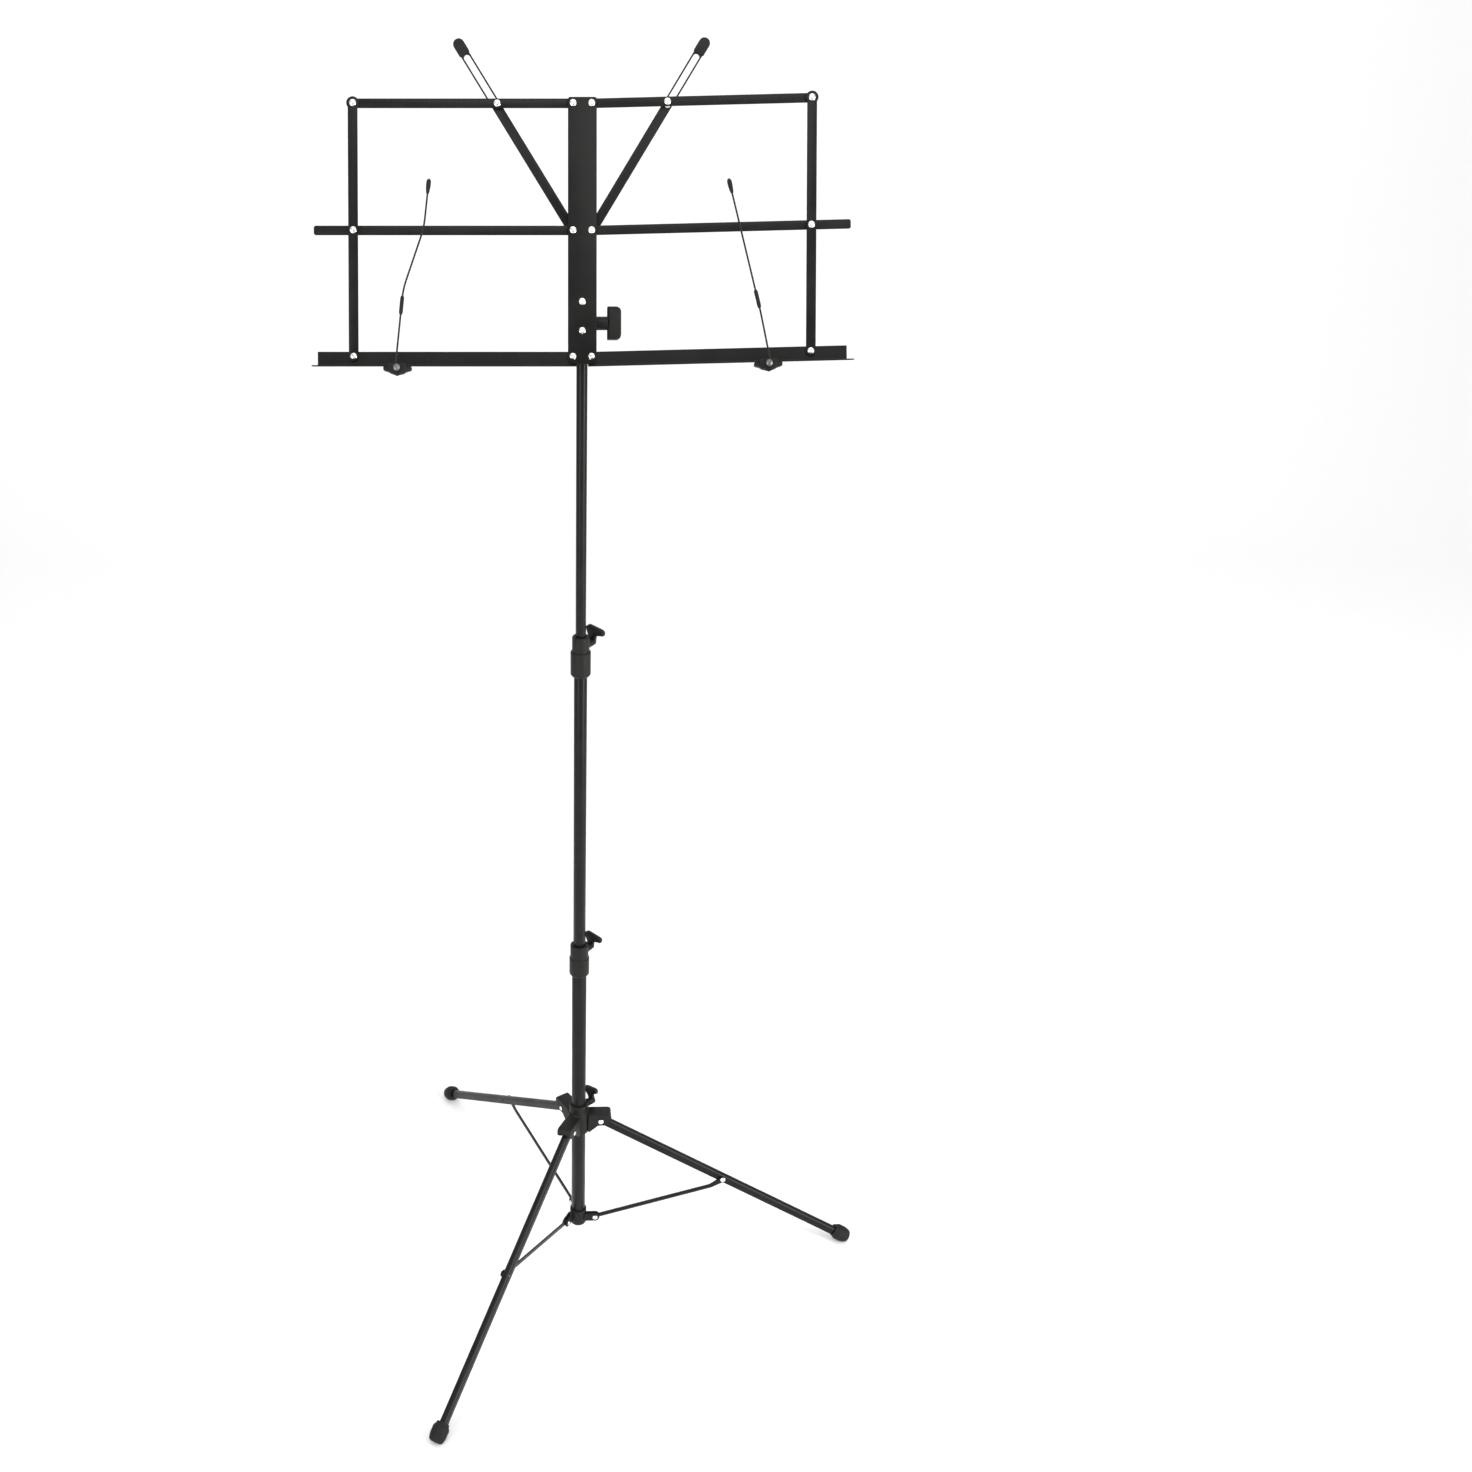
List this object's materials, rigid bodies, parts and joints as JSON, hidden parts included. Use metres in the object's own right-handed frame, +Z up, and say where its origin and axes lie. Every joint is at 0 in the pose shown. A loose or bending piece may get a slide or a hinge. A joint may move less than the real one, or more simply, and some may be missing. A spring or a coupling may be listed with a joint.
{
  "type": "folding music stand",
  "caption": "Folding music stand with tripod base, telescoping clamped pole and a tilting desk whose two wings fold up beside a centre plate.",
  "frame": {"origin": "middle of the footprint at floor level", "axes": "+Z up, -Y towards the player, +X to the right seen from the player"},
  "size_m": [0.5753, 0.5796, 1.3646],
  "materials": {
    "black_paint": "satin powder coat",
    "black_plastic": "fine-grained moulding",
    "black_rubber": "matt",
    "nickel": "bright nickel plate",
    "zinc_steel": "bright zinc plate",
    "black_wire": "gloss lacquer over spring wire",
    "white_nylon": "natural nylon"
  },
  "bodies": {
    "base": {"lower_tube": "black_paint", "base_collar": "black_plastic", "collar_rivets": "nickel", "lower_clamp": "black_plastic"},
    "lower_screw": {"lower_wing_screw": "black_plastic"},
    "hub": {"leg_hub": "black_plastic", "hub_rivets": "nickel"},
    "hub_screw": {"hub_wing_screw": "black_plastic"},
    "lower_swivel_bush": {"lower_bush": "white_nylon"},
    "middle_pole": {"middle_tube": "black_paint", "upper_clamp": "black_plastic"},
    "upper_screw": {"upper_wing_screw": "black_plastic"},
    "upper_swivel_bush": {"upper_bush": "white_nylon"},
    "upper_pole": {"upper_tube": "black_paint", "tilt_head": "black_plastic"},
    "desk": {"centre_plate": "black_paint", "plate_rivets": "nickel", "strut_washers": "zinc_steel", "tilt_bracket": "black_paint", "bracket_rivets": "nickel", "tilt_bolt": "zinc_steel"},
    "knob": {"tilt_knob": "black_plastic"},
    "right_leg_body": {"right_leg": "black_paint", "right_foot": "black_rubber"},
    "right_brace_body": {"right_brace": "black_paint", "right_brace_rivet": "nickel"},
    "rear_leg_body": {"rear_leg": "black_paint", "rear_foot": "black_rubber"},
    "rear_brace_body": {"rear_brace": "black_paint", "rear_brace_rivet": "nickel"},
    "front_leg_body": {"front_leg": "black_paint", "front_foot": "black_rubber"},
    "front_brace_body": {"front_brace": "black_paint", "front_brace_rivet": "nickel"},
    "right_wing": {"right_channel": "black_paint", "right_page_clip": "black_plastic", "right_page_pin": "nickel"},
    "right_mid": {"right_mid_bar": "black_paint"},
    "right_top": {"right_top_bar": "black_paint", "right_slot_rivet": "nickel"},
    "right_post": {"right_upright": "black_paint", "right_upright_rivets": "nickel"},
    "right_strut_arm": {"right_strut": "black_paint", "right_strut_cap": "black_plastic"},
    "right_page_holder": {"right_page_wire": "black_wire", "right_page_sleeve": "black_rubber", "right_page_tip": "black_rubber"},
    "left_wing": {"left_channel": "black_paint", "left_page_clip": "black_plastic", "left_page_pin": "nickel"},
    "left_mid": {"left_mid_bar": "black_paint"},
    "left_top": {"left_top_bar": "black_paint", "left_slot_rivet": "nickel"},
    "left_post": {"left_upright": "black_paint", "left_upright_rivets": "nickel"},
    "left_strut_arm": {"left_strut": "black_paint", "left_strut_cap": "black_plastic"},
    "left_page_holder": {"left_page_wire": "black_wire", "left_page_sleeve": "black_rubber", "left_page_tip": "black_rubber"}
  },
  "joints": [
    {"name": "hub_slide", "type": "slide", "parent": "base", "child": "hub", "axis": [0, 0, 1], "range_m": [0, 0.182]},
    {"name": "right_leg_fold", "type": "hinge", "parent": "hub", "child": "right_leg_body", "pos_m": [-0.02042, 0.00649, 0.2013], "axis": [-0.0349, 0.9994, 0], "range_deg": [0, 47.6]},
    {"name": "right_brace_fold", "type": "hinge", "parent": "base", "child": "right_brace_body", "pos_m": [-0.02601, 0.0063, 0.054], "axis": [0.0349, -0.9994, 0], "range_deg": [0, 58.43]},
    {"name": "rear_leg_fold", "type": "hinge", "parent": "hub", "child": "rear_leg_body", "pos_m": [-0.05957, 0.02731, 0.2013], "axis": [-0.848, -0.5299, 0], "range_deg": [0, 47.6]},
    {"name": "rear_brace_fold", "type": "hinge", "parent": "base", "child": "rear_brace_body", "pos_m": [-0.0566, 0.02256, 0.054], "axis": [0.848, 0.5299, 0], "range_deg": [0, 58.43]},
    {"name": "front_leg_fold", "type": "hinge", "parent": "hub", "child": "front_leg_body", "pos_m": [-0.05802, -0.017, 0.2013], "axis": [0.8829, -0.4695, 0], "range_deg": [0, 47.6]},
    {"name": "front_brace_fold", "type": "hinge", "parent": "base", "child": "front_brace_body", "pos_m": [-0.05539, -0.01206, 0.054], "axis": [-0.8829, 0.4695, 0], "range_deg": [0, 58.43]},
    {"name": "lower_screw_turn", "type": "hinge", "parent": "base", "child": "lower_screw", "pos_m": [-0.037, 0.01632, 0.4353], "axis": [0.6428, 0.766, 0], "range_deg": [0, 90]},
    {"name": "upper_screw_turn", "type": "hinge", "parent": "middle_pole", "child": "upper_screw", "pos_m": [-0.037, 0.01632, 0.8073], "axis": [0.6428, 0.766, 0], "range_deg": [0, 90]},
    {"name": "hub_screw_turn", "type": "hinge", "parent": "hub", "child": "hub_screw", "pos_m": [-0.03497, 0.01422, 0.2182], "axis": [0.788, 0.6157, 0], "range_deg": [0, 80]},
    {"name": "middle_swivel", "type": "hinge", "parent": "base", "child": "lower_swivel_bush", "pos_m": [-0.046, 0.0056, 0.4418], "axis": [0, 0, 1], "continuous": true},
    {"name": "middle_slide", "type": "slide", "parent": "lower_swivel_bush", "child": "middle_pole", "axis": [0, 0, 1], "range_m": [-0.315, 0.03]},
    {"name": "upper_swivel", "type": "hinge", "parent": "middle_pole", "child": "upper_swivel_bush", "pos_m": [-0.046, 0.0056, 0.8138], "axis": [0, 0, 1], "continuous": true},
    {"name": "upper_slide", "type": "slide", "parent": "upper_swivel_bush", "child": "upper_pole", "axis": [0, 0, 1], "range_m": [-0.262, 0.04]},
    {"name": "desk_tilt", "type": "hinge", "parent": "upper_pole", "child": "desk", "pos_m": [-0.046, 0.0056, 1.1324], "axis": [-1, 0, 0], "range_deg": [-25, 60]},
    {"name": "tilt_knob_turn", "type": "hinge", "parent": "desk", "child": "knob", "pos_m": [-0.031, 0.0056, 1.1324], "axis": [1, 0, 0], "range_deg": [0, 180]},
    {"name": "right_wing_fold", "type": "hinge", "parent": "desk", "child": "right_wing", "pos_m": [-0.0376, -0.01913, 1.10881], "axis": [0, -0.9003, 0.4352], "range_deg": [-1.45, 78.55]},
    {"name": "right_mid_turn", "type": "hinge", "parent": "desk", "child": "right_mid", "pos_m": [-0.0376, 0.03014, 1.21073], "axis": [0, -0.9003, 0.4352], "range_deg": [-1.5, 78.6]},
    {"name": "right_top_turn", "type": "hinge", "parent": "desk", "child": "right_top", "pos_m": [-0.0376, 0.07941, 1.31265], "axis": [0, -0.9003, 0.4352], "range_deg": [-1.5, 78.6]},
    {"name": "right_post_turn", "type": "hinge", "parent": "right_wing", "child": "right_post", "pos_m": [0.16064, -0.01695, 1.11333], "axis": [0, -0.9003, 0.4352], "range_deg": [-78.6, 1.5]},
    {"name": "right_strut_turn", "type": "hinge", "parent": "desk", "child": "right_strut_arm", "pos_m": [-0.0376, 0.03014, 1.21073], "axis": [0, -0.9003, 0.4352], "range_deg": [-0.55, 27.07]},
    {"name": "right_page_holder_turn", "type": "hinge", "parent": "right_wing", "child": "right_page_holder", "pos_m": [0.11809, -0.06339, 1.11536], "axis": [0, 0.9003, -0.4352], "range_deg": [-55, 80]},
    {"name": "left_wing_fold", "type": "hinge", "parent": "desk", "child": "left_wing", "pos_m": [-0.0544, -0.01913, 1.10881], "axis": [0, 0.9003, -0.4352], "range_deg": [0, 80]},
    {"name": "left_mid_turn", "type": "hinge", "parent": "desk", "child": "left_mid", "pos_m": [-0.0544, 0.03014, 1.21073], "axis": [0, 0.9003, -0.4352], "range_deg": [-0.05, 80.05]},
    {"name": "left_top_turn", "type": "hinge", "parent": "desk", "child": "left_top", "pos_m": [-0.0544, 0.07941, 1.31265], "axis": [0, 0.9003, -0.4352], "range_deg": [-0.05, 80.05]},
    {"name": "left_post_turn", "type": "hinge", "parent": "left_wing", "child": "left_post", "pos_m": [-0.2527, -0.01913, 1.10881], "axis": [0, 0.9003, -0.4352], "range_deg": [-80.05, 0.05]},
    {"name": "left_strut_turn", "type": "hinge", "parent": "desk", "child": "left_strut_arm", "pos_m": [-0.0544, 0.03014, 1.21073], "axis": [0, 0.9003, -0.4352], "range_deg": [-0.05, 27.57]},
    {"name": "left_page_holder_turn", "type": "hinge", "parent": "left_wing", "child": "left_page_holder", "pos_m": [-0.2097, -0.0651, 1.11182], "axis": [0, -0.9003, 0.4352], "range_deg": [-55, 80]}
  ],
  "couplings": [
    {"joint": "right_leg_fold", "follows": "hub_slide", "rad_per_m": 4.5623},
    {"joint": "right_brace_fold", "follows": "hub_slide", "rad_per_m": 5.601},
    {"joint": "rear_leg_fold", "follows": "hub_slide", "rad_per_m": 4.5623},
    {"joint": "rear_brace_fold", "follows": "hub_slide", "rad_per_m": 5.601},
    {"joint": "front_leg_fold", "follows": "hub_slide", "rad_per_m": 4.5623},
    {"joint": "front_brace_fold", "follows": "hub_slide", "rad_per_m": 5.601},
    {"joint": "right_mid_turn", "follows": "right_wing_fold", "ratio": 1},
    {"joint": "right_top_turn", "follows": "right_wing_fold", "ratio": 1},
    {"joint": "right_post_turn", "follows": "right_wing_fold", "ratio": -1},
    {"joint": "right_strut_turn", "follows": "right_wing_fold", "ratio": 0.344},
    {"joint": "left_mid_turn", "follows": "left_wing_fold", "ratio": 1},
    {"joint": "left_top_turn", "follows": "left_wing_fold", "ratio": 1},
    {"joint": "left_post_turn", "follows": "left_wing_fold", "ratio": -1},
    {"joint": "left_strut_turn", "follows": "left_wing_fold", "ratio": 0.344}
  ]
}
